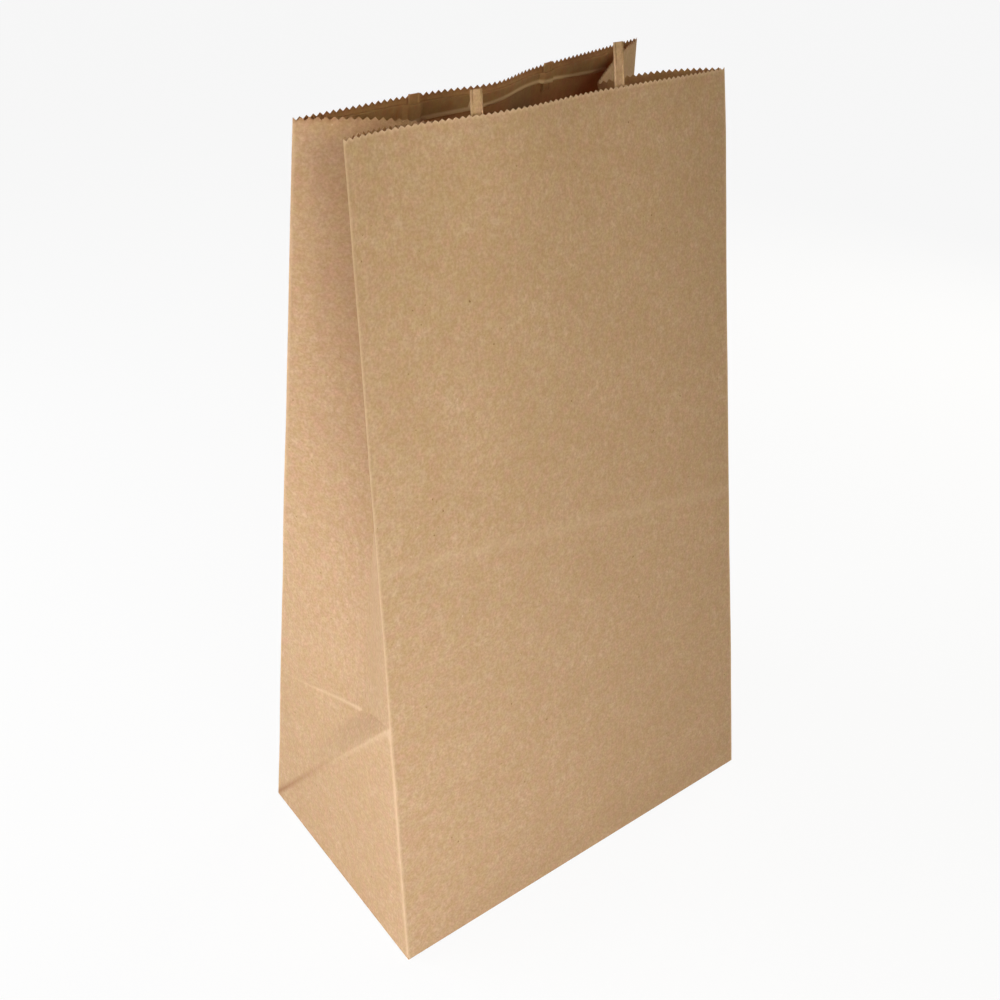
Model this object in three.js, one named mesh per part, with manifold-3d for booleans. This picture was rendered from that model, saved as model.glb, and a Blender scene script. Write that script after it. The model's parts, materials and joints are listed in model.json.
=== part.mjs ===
// Brown paper lunch bag, standing open: a block-bottom bag folded from one sheet of kraft paper, with
// side gussets pinched in at the mouth, a pinked mouth edge, and the four stubs of two flat paper
// handles, each pair glued under a paper patch. Millimetres, +Z up, the front panel faces -Y.
import * as THREE from "three";
import { mergeVertices } from "three/addons/utils/BufferGeometryUtils.js";
import Module from "manifold-3d";

const wasm = await Module();
wasm.setup();

// Sheet
const bagWidth = 152;
const bagDepth = 90;
const panelHeight = 261;
const paper = 0.15;
const baseSkew = 1.1;

// Mouth: the clear distance between the front and back folds at each side, and where its middle lies
const mouthGapLeft = 29.5;
const mouthGapRight = 39;
const mouthMiddleLeft = -4.5;
const mouthMiddleRight = 18;
const frontSlide = 3.4;
const backSlideLeft = 4;
const backSlideRight = -0.3;
const frontWave = 1.9;
const backBow = 5.6;
const backDent = 4.8;
const dentPlace = 0.46;
const dentWidth = 0.1;
const bowFoot = 110;
const panelRowCount = 6;

// Gussets
const foldShare = 0.71;
const footShare = 0.76;
const footSlack = 0.5;
const footRowCount = 3;
const apexDrop = 4.2;
const leftCreaseOffset = 0.2;
const rightCreaseOffset = 1.5;
const leftArmBulge = 4.5;
const rightArmBulge = 1;
const armColumns = 4;

// Pinked edge
const toothPitch = 2.17;
const toothHeight = 1.2;
const teethPerColumn = 2;
const toothBand = 2.2;

// Glued laps of the sheet
const seamLap = 13;
const seamPlace = 0.52;
const seamInset = 1.5;
const seamBite = 0.075;
const flapReach = 56;
const flapSlantWidth = 14;
const flapSlantDepth = 28;
const flapInset = 1.5;
const glueBite = 0.05;

// Handles
const strapWidth = 4;
const strapThickness = 0.8;
const strapWeb = 0.4;
const strapSpacing = 58;
const strapTail = 6.2;
const frontHandlePlace = -2.6;
const backHandlePlace = -6.6;
const frontStubLeft = 7.4;
const frontStubRight = 13.4;
const backStub = 1.6;
const patchWidth = 126;
const patchHeight = 5.8;
const patchDrop = 1;
const patchThickness = 0.3;
const backCurl = 2.6;
const curlPlace = 20;
const curlWidth = 26;
const clearance = 0.3;

// Two points of a row nearer than this are one
const closePoints = 0.2;

const kraft = new THREE.MeshStandardMaterial({ color: "#b98f63", roughness: 0.92, metalness: 0 });
const strapKraft = new THREE.MeshStandardMaterial({ color: "#c69d72", roughness: 0.9, metalness: 0 });
const patchKraft = new THREE.MeshStandardMaterial({ color: "#a97b4e", roughness: 0.92, metalness: 0 });

const rootHeight = panelHeight - toothHeight;
const bandFoot = rootHeight - toothBand;
const foldHeight = foldShare * bagDepth;
const gussetFoot = footShare * bagDepth;
const floorLevel = paper;

// A corner fold of the bag as a function of the height measured along the paper
function cornerFold(baseX, baseY, topX, topY) {
  const run = Math.hypot(topX - baseX, topY - baseY);
  const base = new THREE.Vector3(baseX, baseY, floorLevel);
  const top = new THREE.Vector3(topX, topY, floorLevel + Math.sqrt(panelHeight ** 2 - run ** 2));
  return (height) => base.clone().lerp(top, height / panelHeight);
}

const halfWidth = bagWidth / 2;
const halfDepth = bagDepth / 2;
const halfSpacing = strapSpacing / 2;
const frontLeft = cornerFold(
  -halfWidth - baseSkew, -halfDepth,
  -halfWidth - baseSkew + frontSlide, mouthMiddleLeft - mouthGapLeft / 2,
);
const frontRight = cornerFold(
  halfWidth - baseSkew, -halfDepth,
  halfWidth - baseSkew + frontSlide, mouthMiddleRight - mouthGapRight / 2,
);
const backLeft = cornerFold(
  -halfWidth + baseSkew, halfDepth,
  -halfWidth + baseSkew + backSlideLeft, mouthMiddleLeft + mouthGapLeft / 2,
);
const backRight = cornerFold(
  halfWidth + baseSkew, halfDepth,
  halfWidth + baseSkew + backSlideRight, mouthMiddleRight + mouthGapRight / 2,
);

// A smooth hump over a length: nothing at both ends (0 and 1), one in the middle
function hump(share) {
  return 4 * share * (1 - share);
}

// How strongly the waves of the mouth show at a height: nothing below bowFoot, all at the edge
function mouthShare(height) {
  return Math.max(0, (height - bowFoot) / (panelHeight - bowFoot)) ** 2;
}

// Front and back panel: share runs from the left fold (0) to the right fold (1)
function frontPanel(share, height) {
  const point = frontLeft(height).lerp(frontRight(height), share);
  const wave = Math.sin(4 * Math.PI * share) * (1 - share);
  point.y += frontWave * wave * mouthShare(height);
  return point;
}

function backPanel(share, height) {
  const point = backLeft(height).lerp(backRight(height), share);
  const bow = backBow * Math.sin(Math.PI * share);
  const dent = backDent * Math.exp(-(((share - dentPlace) / dentWidth) ** 2)) * Math.sin(Math.PI * share);
  point.y -= (bow + dent) * mouthShare(height);
  return point;
}

// One gusset arm, from its corner fold (reach 0) to the middle crease (reach 1). The crease lies a
// little nearer the front fold, and goes in as far as the two arms allow, less the slack that is
// left near the base.
function gussetArm(front, back, inwardSign, fromFront) {
  const isLeft = inwardSign > 0;
  const creaseOffset = isLeft ? leftCreaseOffset : rightCreaseOffset;
  const armBulge = isLeft ? leftArmBulge : rightArmBulge;
  return (reach, height) => {
    const near = front(height);
    const far = back(height);
    const across = far.clone().sub(near);
    const inward = new THREE.Vector3(across.y, -across.x, 0).normalize().multiplyScalar(inwardSign);
    const rise = Math.max(0, (height - gussetFoot) / (panelHeight - gussetFoot));
    const gap = across.length();
    const frontReach = halfDepth - creaseOffset;
    const backReach = halfDepth + creaseOffset;
    const forward = (gap ** 2 + frontReach ** 2 - backReach ** 2) / (2 * gap);
    const depth = Math.sqrt(frontReach ** 2 - forward ** 2) * (footSlack + (1 - footSlack) * rise);
    const crease = near.clone().lerp(far, forward / gap).addScaledVector(inward, depth);
    const fold = fromFront ? near : far;
    const point = fold.clone().lerp(crease, reach);
    const bulge = fromFront ? armBulge * hump(reach) * rise : 0;
    point.addScaledVector(across.normalize(), bulge);
    point.z -= apexDrop * (reach * rise) ** 2;
    return point;
  };
}

// A folded sheet: shared vertices and triangles that face out of the bag
class Sheet {
  constructor() {
    this.points = [];
    this.faces = [];
    this.known = new Map();
  }

  vertex(point) {
    const key = point.toArray().map((value) => Math.round(value * 1e4)).join();
    if (!this.known.has(key)) {
      this.known.set(key, this.points.length);
      this.points.push(point);
    }
    return this.known.get(key);
  }

  triangle(a, b, c, flip = false) {
    const corners = [this.vertex(a), this.vertex(b), this.vertex(c)];
    if (new Set(corners).size === 3) {
      this.faces.push(flip ? corners.reverse() : corners);
    }
  }

  // Two rows of as many points, the upper over the lower, both running anticlockwise round the bag
  strip(lower, upper) {
    for (let i = 0; i + 1 < lower.length; i += 1) {
      this.triangle(lower[i], lower[i + 1], upper[i + 1]);
      this.triangle(lower[i], upper[i + 1], upper[i]);
    }
  }

  // All the points of a row joined to one corner point
  fan(corner, row, flip) {
    for (let i = 0; i + 1 < row.length; i += 1) {
      this.triangle(corner, row[i], row[i + 1], flip);
    }
  }

  // Two upright columns of points with their own heights, laced together from the bottom up
  lace(left, right, flip) {
    let i = 0;
    let j = 0;
    while (i + 1 < left.length || j + 1 < right.length) {
      const leftNext = i + 1 < left.length ? left[i + 1].height : Infinity;
      const rightNext = j + 1 < right.length ? right[j + 1].height : Infinity;
      if (leftNext <= rightNext) {
        this.triangle(left[i].point, right[j].point, left[i + 1].point, flip);
        i += 1;
      } else {
        this.triangle(left[i].point, right[j].point, right[j + 1].point, flip);
        j += 1;
      }
    }
  }
}

// Closed solid of a sheet: a second skin one thickness inside, joined along the sheet's free edges
function thicken(sheet, thickness) {
  const normals = sheet.points.map(() => []);
  for (const face of sheet.faces) {
    const [a, b, c] = face.map((index) => sheet.points[index]);
    const normal = b.clone().sub(a).cross(c.clone().sub(a)).normalize();
    for (const index of face) {
      normals[index].push(normal);
    }
  }
  const inner = sheet.points.map((point, index) => point.clone().add(inset(normals[index], thickness)));
  const count = sheet.points.length;
  const triangles = [];
  const open = new Map();
  for (const [a, b, c] of sheet.faces) {
    triangles.push([a, b, c], [a + count, c + count, b + count]);
    for (const [from, to] of [[a, b], [b, c], [c, a]]) {
      if (!open.delete(`${to} ${from}`)) {
        open.set(`${from} ${to}`, [from, to]);
      }
    }
  }
  for (const [from, to] of open.values()) {
    triangles.push([to, from, from + count], [to, from + count, to + count]);
  }
  const geometry = new THREE.BufferGeometry().setFromPoints([...sheet.points, ...inner]);
  geometry.setIndex(triangles.flat());
  return geometry;
}

// The step from a vertex to its inner twin that lies one thickness inside every face around it
function inset(faceNormals, thickness) {
  const gram = new THREE.Matrix3().set(0, 0, 0, 0, 0, 0, 0, 0, 0);
  const sum = new THREE.Vector3();
  const distinct = faceNormals.filter(
    (normal, index) => faceNormals.findIndex((other) => other.dot(normal) > 0.99995) === index,
  );
  const mean = distinct.reduce((total, normal) => total.add(normal), new THREE.Vector3()).normalize();
  const damping = 1e-4;
  for (const normal of distinct) {
    const { x, y, z } = normal;
    const add = [x * x, x * y, x * z, x * y, y * y, y * z, x * z, y * z, z * z];
    add.forEach((value, index) => {
      gram.elements[index] += value;
    });
    sum.addScaledVector(normal, -thickness);
  }
  for (const diagonal of [0, 4, 8]) {
    gram.elements[diagonal] += damping;
  }
  sum.addScaledVector(mean, -thickness * damping);
  return sum.applyMatrix3(gram.invert());
}

// Heights at which the panels carry rows of points
function panelHeights() {
  const rows = [0, foldHeight, bagDepth];
  for (let i = 1; i <= panelRowCount; i += 1) {
    rows.push(bagDepth + ((bandFoot - patchHeight - bagDepth) * i) / panelRowCount);
  }
  rows.push(bandFoot);
  return rows;
}

const heights = panelHeights();
const columns = Math.round(bagWidth / (toothPitch * teethPerColumn));
const shares = Array.from({ length: columns + 1 }, (_, i) => i / columns);

function panelRows(sheet, panel, runs, rows) {
  for (let i = 0; i + 1 < rows.length; i += 1) {
    sheet.strip(
      runs.map((share) => panel(share, rows[i])),
      runs.map((share) => panel(share, rows[i + 1])),
    );
  }
}

// One side of the bag. A flat triangle stands on the base, bounded by the 45 degree crease from the
// back base corner to the front fold. Above it the side turns in to the foot of the gusset's middle
// crease, and the crossways fold runs from there to the back fold. Between those folds and the
// corner the side flattens out, so its hollow fades faster than its width.
function gussetSide(sheet, front, back, inwardSign) {
  const flip = inwardSign > 0;
  const frontArm = gussetArm(front, back, inwardSign, true);
  const backArm = gussetArm(front, back, inwardSign, false);
  const backCorner = back(0);
  const reaches = Array.from({ length: armColumns + 1 }, (_, i) => i / armColumns);
  const frontStart = (reach) => THREE.MathUtils.lerp(bagDepth, gussetFoot, reach);
  const backStart = (reach) => THREE.MathUtils.lerp(foldHeight, gussetFoot, reach);
  const footPoint = (arm, start, reach, share) => {
    const across = arm === frontArm ? reach / 2 : 1 - reach / 2;
    const flat = front(bagDepth).lerp(back(foldHeight), across);
    const spread = flat.lerp(arm(reach, start(reach)), share);
    return { height: start(reach) * share, point: backCorner.clone().lerp(spread, share) };
  };
  const column = (arm, start) => (reach) => {
    const from = start(reach);
    const footShares = Array.from({ length: reach > 0 ? footRowCount : 1 }, (_, i) => i / footRowCount);
    const below = footShares.map((share) => footPoint(arm, start, reach, share));
    const above = heights.filter((height) => height > from + closePoints);
    return [...below, ...[from, ...above].map((height) => ({ height, point: arm(reach, height) }))];
  };
  const lowFront = heights.filter((height) => height <= bagDepth).map(front).reverse();
  sheet.fan(backCorner, lowFront, flip);
  const frontColumns = reaches.map(column(frontArm, frontStart));
  const backColumns = reaches.map(column(backArm, backStart)).reverse();
  for (let i = 0; i < armColumns; i += 1) {
    sheet.lace(frontColumns[i], frontColumns[i + 1], flip);
    sheet.lace(backColumns[i], backColumns[i + 1], flip);
  }
  return {
    frontRuns: reaches.map((reach) => (height) => frontArm(reach, height)),
    backRuns: reaches.map((reach) => (height) => backArm(reach, height)).reverse(),
  };
}

// Saw teeth along the mouth: every stretch between two upright runs gets a whole number of teeth,
// with half a tooth at each end, so that a whole one stands on every run and on every corner fold
function pinkedEdge(sheet, ring) {
  ring.forEach((run, index) => {
    const next = ring[(index + 1) % ring.length];
    const low = [run(bandFoot), next(bandFoot)];
    const length = low[0].distanceTo(low[1]);
    if (length < toothPitch / 4) {
      return;
    }
    const teeth = Math.max(1, Math.round(length / toothPitch));
    const along = (height, share) => run(height).lerp(next(height), share);
    const inner = Array.from({ length: teeth }, (_, i) => (i + 0.5) / teeth);
    const roots = [0, ...inner, 1].map((share) => along(rootHeight, share));
    const half = Math.ceil(teeth / 2);
    sheet.fan(low[0], roots.slice(0, half + 1).reverse());
    sheet.triangle(low[0], low[1], roots[half]);
    sheet.fan(low[1], roots.slice(half).reverse());
    for (let i = 0; i <= teeth; i += 1) {
      sheet.triangle(roots[i], roots[i + 1], along(panelHeight, i / teeth));
    }
  });
}

function bagSheet() {
  const sheet = new Sheet();
  const backShares = [...shares].reverse();
  panelRows(sheet, frontPanel, shares, heights);
  panelRows(sheet, backPanel, backShares, heights);
  const right = gussetSide(sheet, frontRight, backRight, -1);
  const left = gussetSide(sheet, frontLeft, backLeft, 1);
  sheet.strip(
    shares.map((share) => backPanel(share, 0)),
    shares.map((share) => frontPanel(share, 0)),
  );
  const ring = [
    ...shares.map((share) => (height) => frontPanel(share, height)),
    ...right.frontRuns.slice(1),
    ...right.backRuns.slice(1, -1),
    ...backShares.map((share) => (height) => backPanel(share, height)),
    ...left.backRuns.reverse().slice(1),
    ...left.frontRuns.reverse().slice(1, -1),
  ];
  pinkedEdge(sheet, ring);
  return sheet;
}

function toSolid(geometry) {
  const bare = geometry.clone();
  bare.deleteAttribute("normal");
  bare.deleteAttribute("uv");
  const merged = mergeVertices(bare, 1e-4);
  const vertProperties = new Float32Array(merged.attributes.position.array);
  const triVerts = new Uint32Array(merged.index.array);
  return new wasm.Manifold(new wasm.Mesh({ numProp: 3, vertProperties, triVerts }));
}

function toGeometry(solid) {
  const mesh = solid.getMesh();
  const geometry = new THREE.BufferGeometry();
  geometry.setAttribute("position", new THREE.BufferAttribute(mesh.vertProperties, 3));
  geometry.setIndex(new THREE.BufferAttribute(mesh.triVerts, 1));
  geometry.computeVertexNormals();
  return geometry;
}

function join(geometries) {
  return toGeometry(geometries.map(toSolid).reduce((whole, next) => whole.add(next)));
}

// A flat ply of the base, cut to an outline and laid with its underside at a height
function plyAt(outline, bottom, thickness) {
  const geometry = new THREE.ExtrudeGeometry(new THREE.Shape(outline), {
    depth: thickness,
    bevelEnabled: false,
  });
  return geometry.translate(0, 0, bottom);
}

// The flap folded last closes the base from below, with its corners cut at a slant
function baseFlap() {
  const left = -halfWidth + baseSkew + flapInset;
  const right = halfWidth - baseSkew - flapInset;
  const rear = halfDepth - flapInset;
  const edge = rear - flapReach;
  return plyAt(
    [
      new THREE.Vector2(left + flapSlantWidth, edge),
      new THREE.Vector2(right - flapSlantWidth, edge),
      new THREE.Vector2(right, edge + flapSlantDepth),
      new THREE.Vector2(right, rear),
      new THREE.Vector2(left, rear),
      new THREE.Vector2(left, edge + flapSlantDepth),
    ],
    0,
    floorLevel + glueBite,
  );
}

// Inside, the side's own paper lies on the floor as a triangle at each end
function endTuck(side) {
  const outer = halfWidth - baseSkew - flapInset;
  const half = halfDepth - flapInset;
  const outline = [
    new THREE.Vector2(side * outer, -half),
    new THREE.Vector2(side * outer, half),
    new THREE.Vector2(side * (outer - half), 0),
  ];
  return plyAt(outline, floorLevel + paper - glueBite, paper + glueBite);
}

// The long glued seam of the tube: one strip of the sheet laps over the back panel
function backSeam() {
  const sheet = new Sheet();
  const end = seamPlace + seamLap / bagWidth;
  const close = closePoints / bagWidth;
  const within = shares.filter((share) => share > seamPlace + close && share < end - close);
  const runs = [seamPlace, ...within, end].reverse();
  const rows = [seamInset, ...heights.slice(1, -1), bandFoot - seamInset];
  const lapped = (share, height) => {
    const point = backPanel(share, height);
    point.y += paper;
    return point;
  };
  panelRows(sheet, lapped, runs, rows);
  return thicken(sheet, paper + seamBite);
}

function bagBody() {
  const shell = thicken(bagSheet(), paper);
  return join([shell, baseFlap(), endTuck(-1), endTuck(1), backSeam()]);
}

// Place on the inner face of a panel: distance along the panel from its middle, height along the
// paper, and depth measured from the inner face into the bag
function insidePanel(panel, inwardSign) {
  const probe = 1;
  return (along, height, depth) => {
    const share = 0.5 + along / bagWidth;
    const step = probe / bagWidth;
    const point = panel(share, height);
    const right = panel(share + step, height).sub(panel(share - step, height)).normalize();
    const up = point.clone().sub(panel(share, height - probe)).normalize();
    const inward = up.cross(right).normalize().multiplyScalar(inwardSign);
    return point.addScaledVector(inward, paper + depth);
  };
}

// Section of a folded paper strap: two rolled edges with a thinner web between them
function strapSection() {
  const roll = strapThickness / 2;
  const side = strapWidth / 2 - roll;
  const web = strapWeb / 2;
  const meet = Math.asin(web / roll);
  const section = new THREE.Shape();
  section.absarc(side, roll, roll, meet - Math.PI, Math.PI - meet, false);
  section.absarc(-side, roll, roll, meet, 2 * Math.PI - meet, false);
  return section;
}

// A handle stub stands against the inner face of its panel, glued there by its tail
function strapStub(place, along, stubHeight) {
  const tailFoot = rootHeight - patchDrop - strapTail;
  const base = place(along, tailFoot, clearance);
  const mouth = place(along, rootHeight, clearance);
  const up = mouth.clone().sub(base).normalize();
  const inward = place(along, tailFoot, clearance + strapThickness).sub(base).normalize();
  const across = inward.clone().cross(up).normalize();
  const length = mouth.distanceTo(base) + stubHeight;
  const geometry = new THREE.ExtrudeGeometry(strapSection(), {
    depth: length,
    bevelEnabled: false,
    curveSegments: 8,
  });
  const frame = new THREE.Matrix4().makeBasis(across, inward, up).setPosition(base);
  return geometry.applyMatrix4(frame);
}

// The patch lies on the panel and humps over the tails of its two straps. Its lower edge may have
// curled up by a given length near one strap.
function strapPatch(place, middle, curl) {
  const half = patchWidth / 2;
  const overStrap = clearance * 2 + strapThickness;
  const shoulder = strapWidth / 2 + clearance;
  const slope = overStrap - clearance + patchThickness;
  const offsets = shares
    .map((share) => (share - 0.5) * bagWidth - middle)
    .filter((offset) => Math.abs(offset) < half - closePoints);
  const bends = [-halfSpacing, halfSpacing].flatMap((strap) => [
    strap - shoulder - slope,
    strap - shoulder,
    strap + shoulder,
    strap + shoulder + slope,
  ]);
  const stops = [-half, ...offsets, ...bends, half].sort((a, b) => a - b);
  const spaced = stops.filter((stop, index) => index === 0 || stop - stops[index - 1] > closePoints);
  const lift = (offset) => {
    const fromStrap = Math.abs(Math.abs(offset) - halfSpacing) - shoulder;
    const share = THREE.MathUtils.clamp(fromStrap / slope, 0, 1);
    return THREE.MathUtils.lerp(overStrap, clearance, share);
  };
  const top = rootHeight - patchDrop;
  const sheet = new Sheet();
  const row = (drop) => spaced.map((stop) => {
    return place(middle + stop, top - drop(stop), lift(stop) + patchThickness);
  });
  const lowerEdge = (stop) => patchHeight - curl * Math.exp(-(((stop - curlPlace) / curlWidth) ** 2));
  sheet.strip(row(lowerEdge), row(() => 0));
  if (place(0, top, clearance).y > place(0, top, 0).y) {
    sheet.faces.forEach((face) => face.reverse());
  }
  return thicken(sheet, patchThickness);
}

const group = new THREE.Group();

function addPiece(name, geometry, material) {
  const mesh = new THREE.Mesh(geometry, material);
  mesh.name = name;
  group.add(mesh);
}

// One patch and two stubs on the inner face of a panel
function addHandle(side, place, middle, curl, leftStub, rightStub) {
  addPiece(`handle_patch_${side}`, strapPatch(place, middle, curl), patchKraft);
  addPiece(`strap_stub_${side}_left`, strapStub(place, middle - halfSpacing, leftStub), strapKraft);
  addPiece(`strap_stub_${side}_right`, strapStub(place, middle + halfSpacing, rightStub), strapKraft);
}

addPiece("bag_body", bagBody(), kraft);
addHandle("front", insidePanel(frontPanel, 1), frontHandlePlace, 0, frontStubLeft, frontStubRight);
addHandle("back", insidePanel(backPanel, -1), backHandlePlace, backCurl, backStub, backStub);

// The origin is the middle of the underside of the whole bag's box
const bounds = new THREE.Box3().setFromObject(group);
const middle = bounds.getCenter(new THREE.Vector3());
group.children.forEach((mesh) => mesh.geometry.translate(-middle.x, -middle.y, -bounds.min.z));

export default group;
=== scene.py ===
import json
import math
from functools import partial

import bpy
from mathutils import Matrix, Vector, noise

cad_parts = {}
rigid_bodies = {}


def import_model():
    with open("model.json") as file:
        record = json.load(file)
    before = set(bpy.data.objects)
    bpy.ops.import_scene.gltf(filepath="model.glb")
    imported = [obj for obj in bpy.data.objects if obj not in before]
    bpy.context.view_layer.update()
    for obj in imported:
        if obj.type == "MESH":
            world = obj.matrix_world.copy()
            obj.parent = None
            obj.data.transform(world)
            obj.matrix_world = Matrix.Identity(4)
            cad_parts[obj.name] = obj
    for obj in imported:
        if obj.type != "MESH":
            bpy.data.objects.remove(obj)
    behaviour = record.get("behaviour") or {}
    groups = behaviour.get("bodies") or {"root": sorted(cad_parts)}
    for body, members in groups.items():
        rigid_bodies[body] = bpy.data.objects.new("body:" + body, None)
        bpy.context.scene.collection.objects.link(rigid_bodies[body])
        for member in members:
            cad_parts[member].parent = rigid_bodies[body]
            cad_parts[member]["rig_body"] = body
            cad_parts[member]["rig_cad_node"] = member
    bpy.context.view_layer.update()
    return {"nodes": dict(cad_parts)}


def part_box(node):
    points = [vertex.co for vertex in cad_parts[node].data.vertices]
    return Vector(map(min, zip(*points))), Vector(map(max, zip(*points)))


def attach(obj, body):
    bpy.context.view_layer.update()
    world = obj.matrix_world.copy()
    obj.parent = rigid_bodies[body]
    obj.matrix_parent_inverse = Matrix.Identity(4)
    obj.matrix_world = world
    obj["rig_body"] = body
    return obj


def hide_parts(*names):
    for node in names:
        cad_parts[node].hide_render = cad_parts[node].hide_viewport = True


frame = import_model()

bl_info = {
    "name": "Brown paper lunch bag",
    "version": (1, 0, 0),
    "blender": (4, 5, 0),
    "location": "3D View > Sidebar > Paper bag",
    "description": "Folds a block-bottom kraft paper bag with side gussets and a pinked mouth",
    "category": "Object",
}

MM = 0.001
BODY = "root"

# The low corner of the sheet's solid in the fitted frame, from which the folds are placed
BAG_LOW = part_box("bag_body")[0]


def millimetres(name, value, description):
    """A length the user may change, shown in the scene's unit and kept in metres."""
    return bpy.props.FloatProperty(
        name=name, description=description, default=value * MM, subtype="DISTANCE", precision=5
    )


def hex_to_linear(code):
    """An sRGB hex colour as linear red, green and blue."""
    channels = (int(code[i:i + 2], 16) / 255 for i in (1, 3, 5))
    return [c / 12.92 if c <= 0.04045 else ((c + 0.055) / 1.055) ** 2.4 for c in channels]


def colour(name, code, description):
    """A colour the user may change."""
    return bpy.props.FloatVectorProperty(
        name=name, description=description, default=hex_to_linear(code), subtype="COLOR",
        min=0, max=1,
    )


class PaperBagSizes(bpy.types.PropertyGroup):
    """Sizes of the folded sheet, of its mouth and of its pinked edge."""

    bag_width: millimetres("Width", 152, "Width of the front and back panels")
    bag_depth: millimetres("Depth", 90, "Depth of the base")
    panel_height: millimetres("Height", 261, "Height of a panel along the paper, tooth tips included")
    paper: millimetres("Paper", 0.15, "Thickness of the paper")
    base_skew: millimetres("Base skew", 1.1, "How far the base stands out of square at each end")
    mouth_gap_left: millimetres("Left gap", 29.5, "Between the front and back folds at the left")
    mouth_gap_right: millimetres("Right gap", 39, "Between the front and back folds at the right")
    mouth_middle_left: millimetres("Left middle", -4.5, "Where the left side of the mouth lies")
    mouth_middle_right: millimetres("Right middle", 18, "Where the right side of the mouth lies")
    front_slide: millimetres("Front slide", 3.4, "Sideways lean of the front panel")
    back_slide_left: millimetres("Back slide left", 4, "Sideways lean of the back left fold")
    back_slide_right: millimetres("Back slide right", -0.3, "Sideways lean of the back right fold")
    front_wave: millimetres("Front wave", 1.9, "Wave of the front panel at the mouth")
    back_bow: millimetres("Back bow", 5.6, "How far the back panel bows in at the mouth")
    back_dent: millimetres("Back dent", 4.8, "Depth of the dent in the back panel's edge")
    bow_foot: millimetres("Bow foot", 110, "Height below which the panels are straight")
    apex_drop: millimetres("Apex drop", 4.2, "How far the gusset's crease lies under the mouth")
    left_offset: millimetres("Left crease", 0.2, "How far the left crease lies before the middle")
    right_offset: millimetres("Right crease", 1.5, "How far the right crease lies before the middle")
    left_bulge: millimetres("Left bulge", 4.5, "Bulge of the left gusset's front arm")
    right_bulge: millimetres("Right bulge", 1, "Bulge of the right gusset's front arm")
    tooth_pitch: millimetres("Tooth pitch", 2.17, "Spacing of the teeth along the mouth")
    tooth_height: millimetres("Tooth height", 0.95, "Height of the teeth")
    front_tooth_height: millimetres("Front tooth height", 0.75, "Height of the front panel's teeth")
    seam_lap: millimetres("Seam lap", 13, "Width of the glued lap down the back")
    flap_reach: millimetres("Flap reach", 56, "How far the closing flap reaches under the base")
    flap_slant_width: millimetres("Flap slant width", 14, "Width of the flap's cut corners")
    flap_slant_depth: millimetres("Flap slant depth", 28, "Depth of the flap's cut corners")
    lap_inset: millimetres("Lap inset", 1.5, "How far the laps stop short of the folds")


class PaperBagColours(bpy.types.PropertyGroup):
    """Colours of the kraft papers and of the studio."""

    kraft: colour("Kraft", "#CFB08F", "Main tone of the sheet")
    # Painted shade: the same paper as the outer face, darker and warmer for the shade and warm light
    # inside
    kraft_inner_shaded: colour("Kraft inside", "#B88A5E", "Main tone of the sheet's inner face")
    kraft_pink: colour("Kraft warm", "#D09A7E", "Pinkish blotches of the sheet")
    kraft_olive: colour("Kraft yellow", "#BEA66C", "Yellowish blotches of the sheet")
    grain: colour("Grain", "#9C7B52", "Fine dark grain between the fibres")
    # Painted shade, for the dark valley of a crease and the shaded teeth of the back edge
    crease: colour("Crease", "#8A5A38", "Grime and shade deep in a crease")
    kraft_dark: colour("Kraft shade", "#AD8C63", "Darker cloudy tone of the sheet")
    # Rubbed paper with a painted highlight, along the folds and the cut edges
    fold: colour("Fold", "#DDBF9B", "Rubbed paper along the folds and the cut edge")
    fleck_dark: colour("Dark fleck", "#6E4A2C", "Bark and ink specks in recycled pulp")
    fleck_pale: colour("Pale fleck", "#E2CDAE", "Pale fibres in recycled pulp")
    patch: colour("Patch", "#B87A4C", "Paper patch over the handle ends")
    # Painted highlight where a patch's cut border catches the light
    patch_edge: colour("Patch edge", "#F2D2A4", "Pale cut border of a patch")
    glow: colour("Glow", "#EB9A58", "Warm light that thin paper lets through")
    strap: colour("Strap", "#D8B692", "Folded paper of the front handle's strap")
    # Painted shade: the same strap paper, darker and warmer for the shade of the mouth
    strap_back_shaded: colour("Back strap", "#BC8558", "Folded paper of the back handle's strap")
    floor: colour("Floor", "#F4F4F2", "Studio floor")


def sizes():
    """The sizes of the bag in this scene."""
    return bpy.context.scene.paper_bag_sizes


def colours():
    """The colours of the bag in this scene."""
    return bpy.context.scene.paper_bag_colours


# Heights as shares of the bag's depth: where the gusset's slanting facets end on the back fold,
# and where the gusset's middle crease starts
FOLD_SHARE = 0.71
FOOT_SHARE = 0.865

# The foot of the middle crease: the share of its full depth that it has there, how soft it is, how
# far it stands towards the front, and the share of the rise over which the last two fade
FOOT_SLACK = 0.16
FOOT_SOFTNESS = 0.8
FOOT_FORWARD = 10 * MM
SOFT_RISE = 0.35

# Places and widths across the back panel, as shares of its width
DENT_PLACE = 0.46
DENT_WIDTH = 0.1
SEAM_PLACE = 0.52

# Columns and rows of the grids that the sheet is folded from, two columns to a tooth
PANEL_TEETH = 70
ARM_TEETH = 21
PANEL_COLUMNS = 2 * PANEL_TEETH
SIDE_COLUMNS = 2 * ARM_TEETH
UPPER_ROWS = 48
FRONT_FOOT_ROWS = 16
BACK_FOOT_ROWS = SIDE_COLUMNS
SEAM_GRID = (12, 90)
FLAP_GRID = (60, 28)
TUCK_GRID = (30, 15)

# How strongly rows crowd towards a crease: 1 is evenly spaced, less is more crowded
CROWDING = 0.35

# Points nearer than this become one, in the folded sheet and in a copied solid
SHEET_WELD = 0.01 * MM
COPY_WELD = 0.005 * MM

# Slow and quick sway of the standing paper: the size of a wave and how far it strays. The sway
# fades to nothing between this height and the table.
SLOW_WAVE, SLOW_STRAY = 62 * MM, 0.5 * MM
QUICK_WAVE, QUICK_STRAY = 19 * MM, 0.1 * MM
FREE_HEIGHT = 40 * MM
SWAY_SEED = 7

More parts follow.
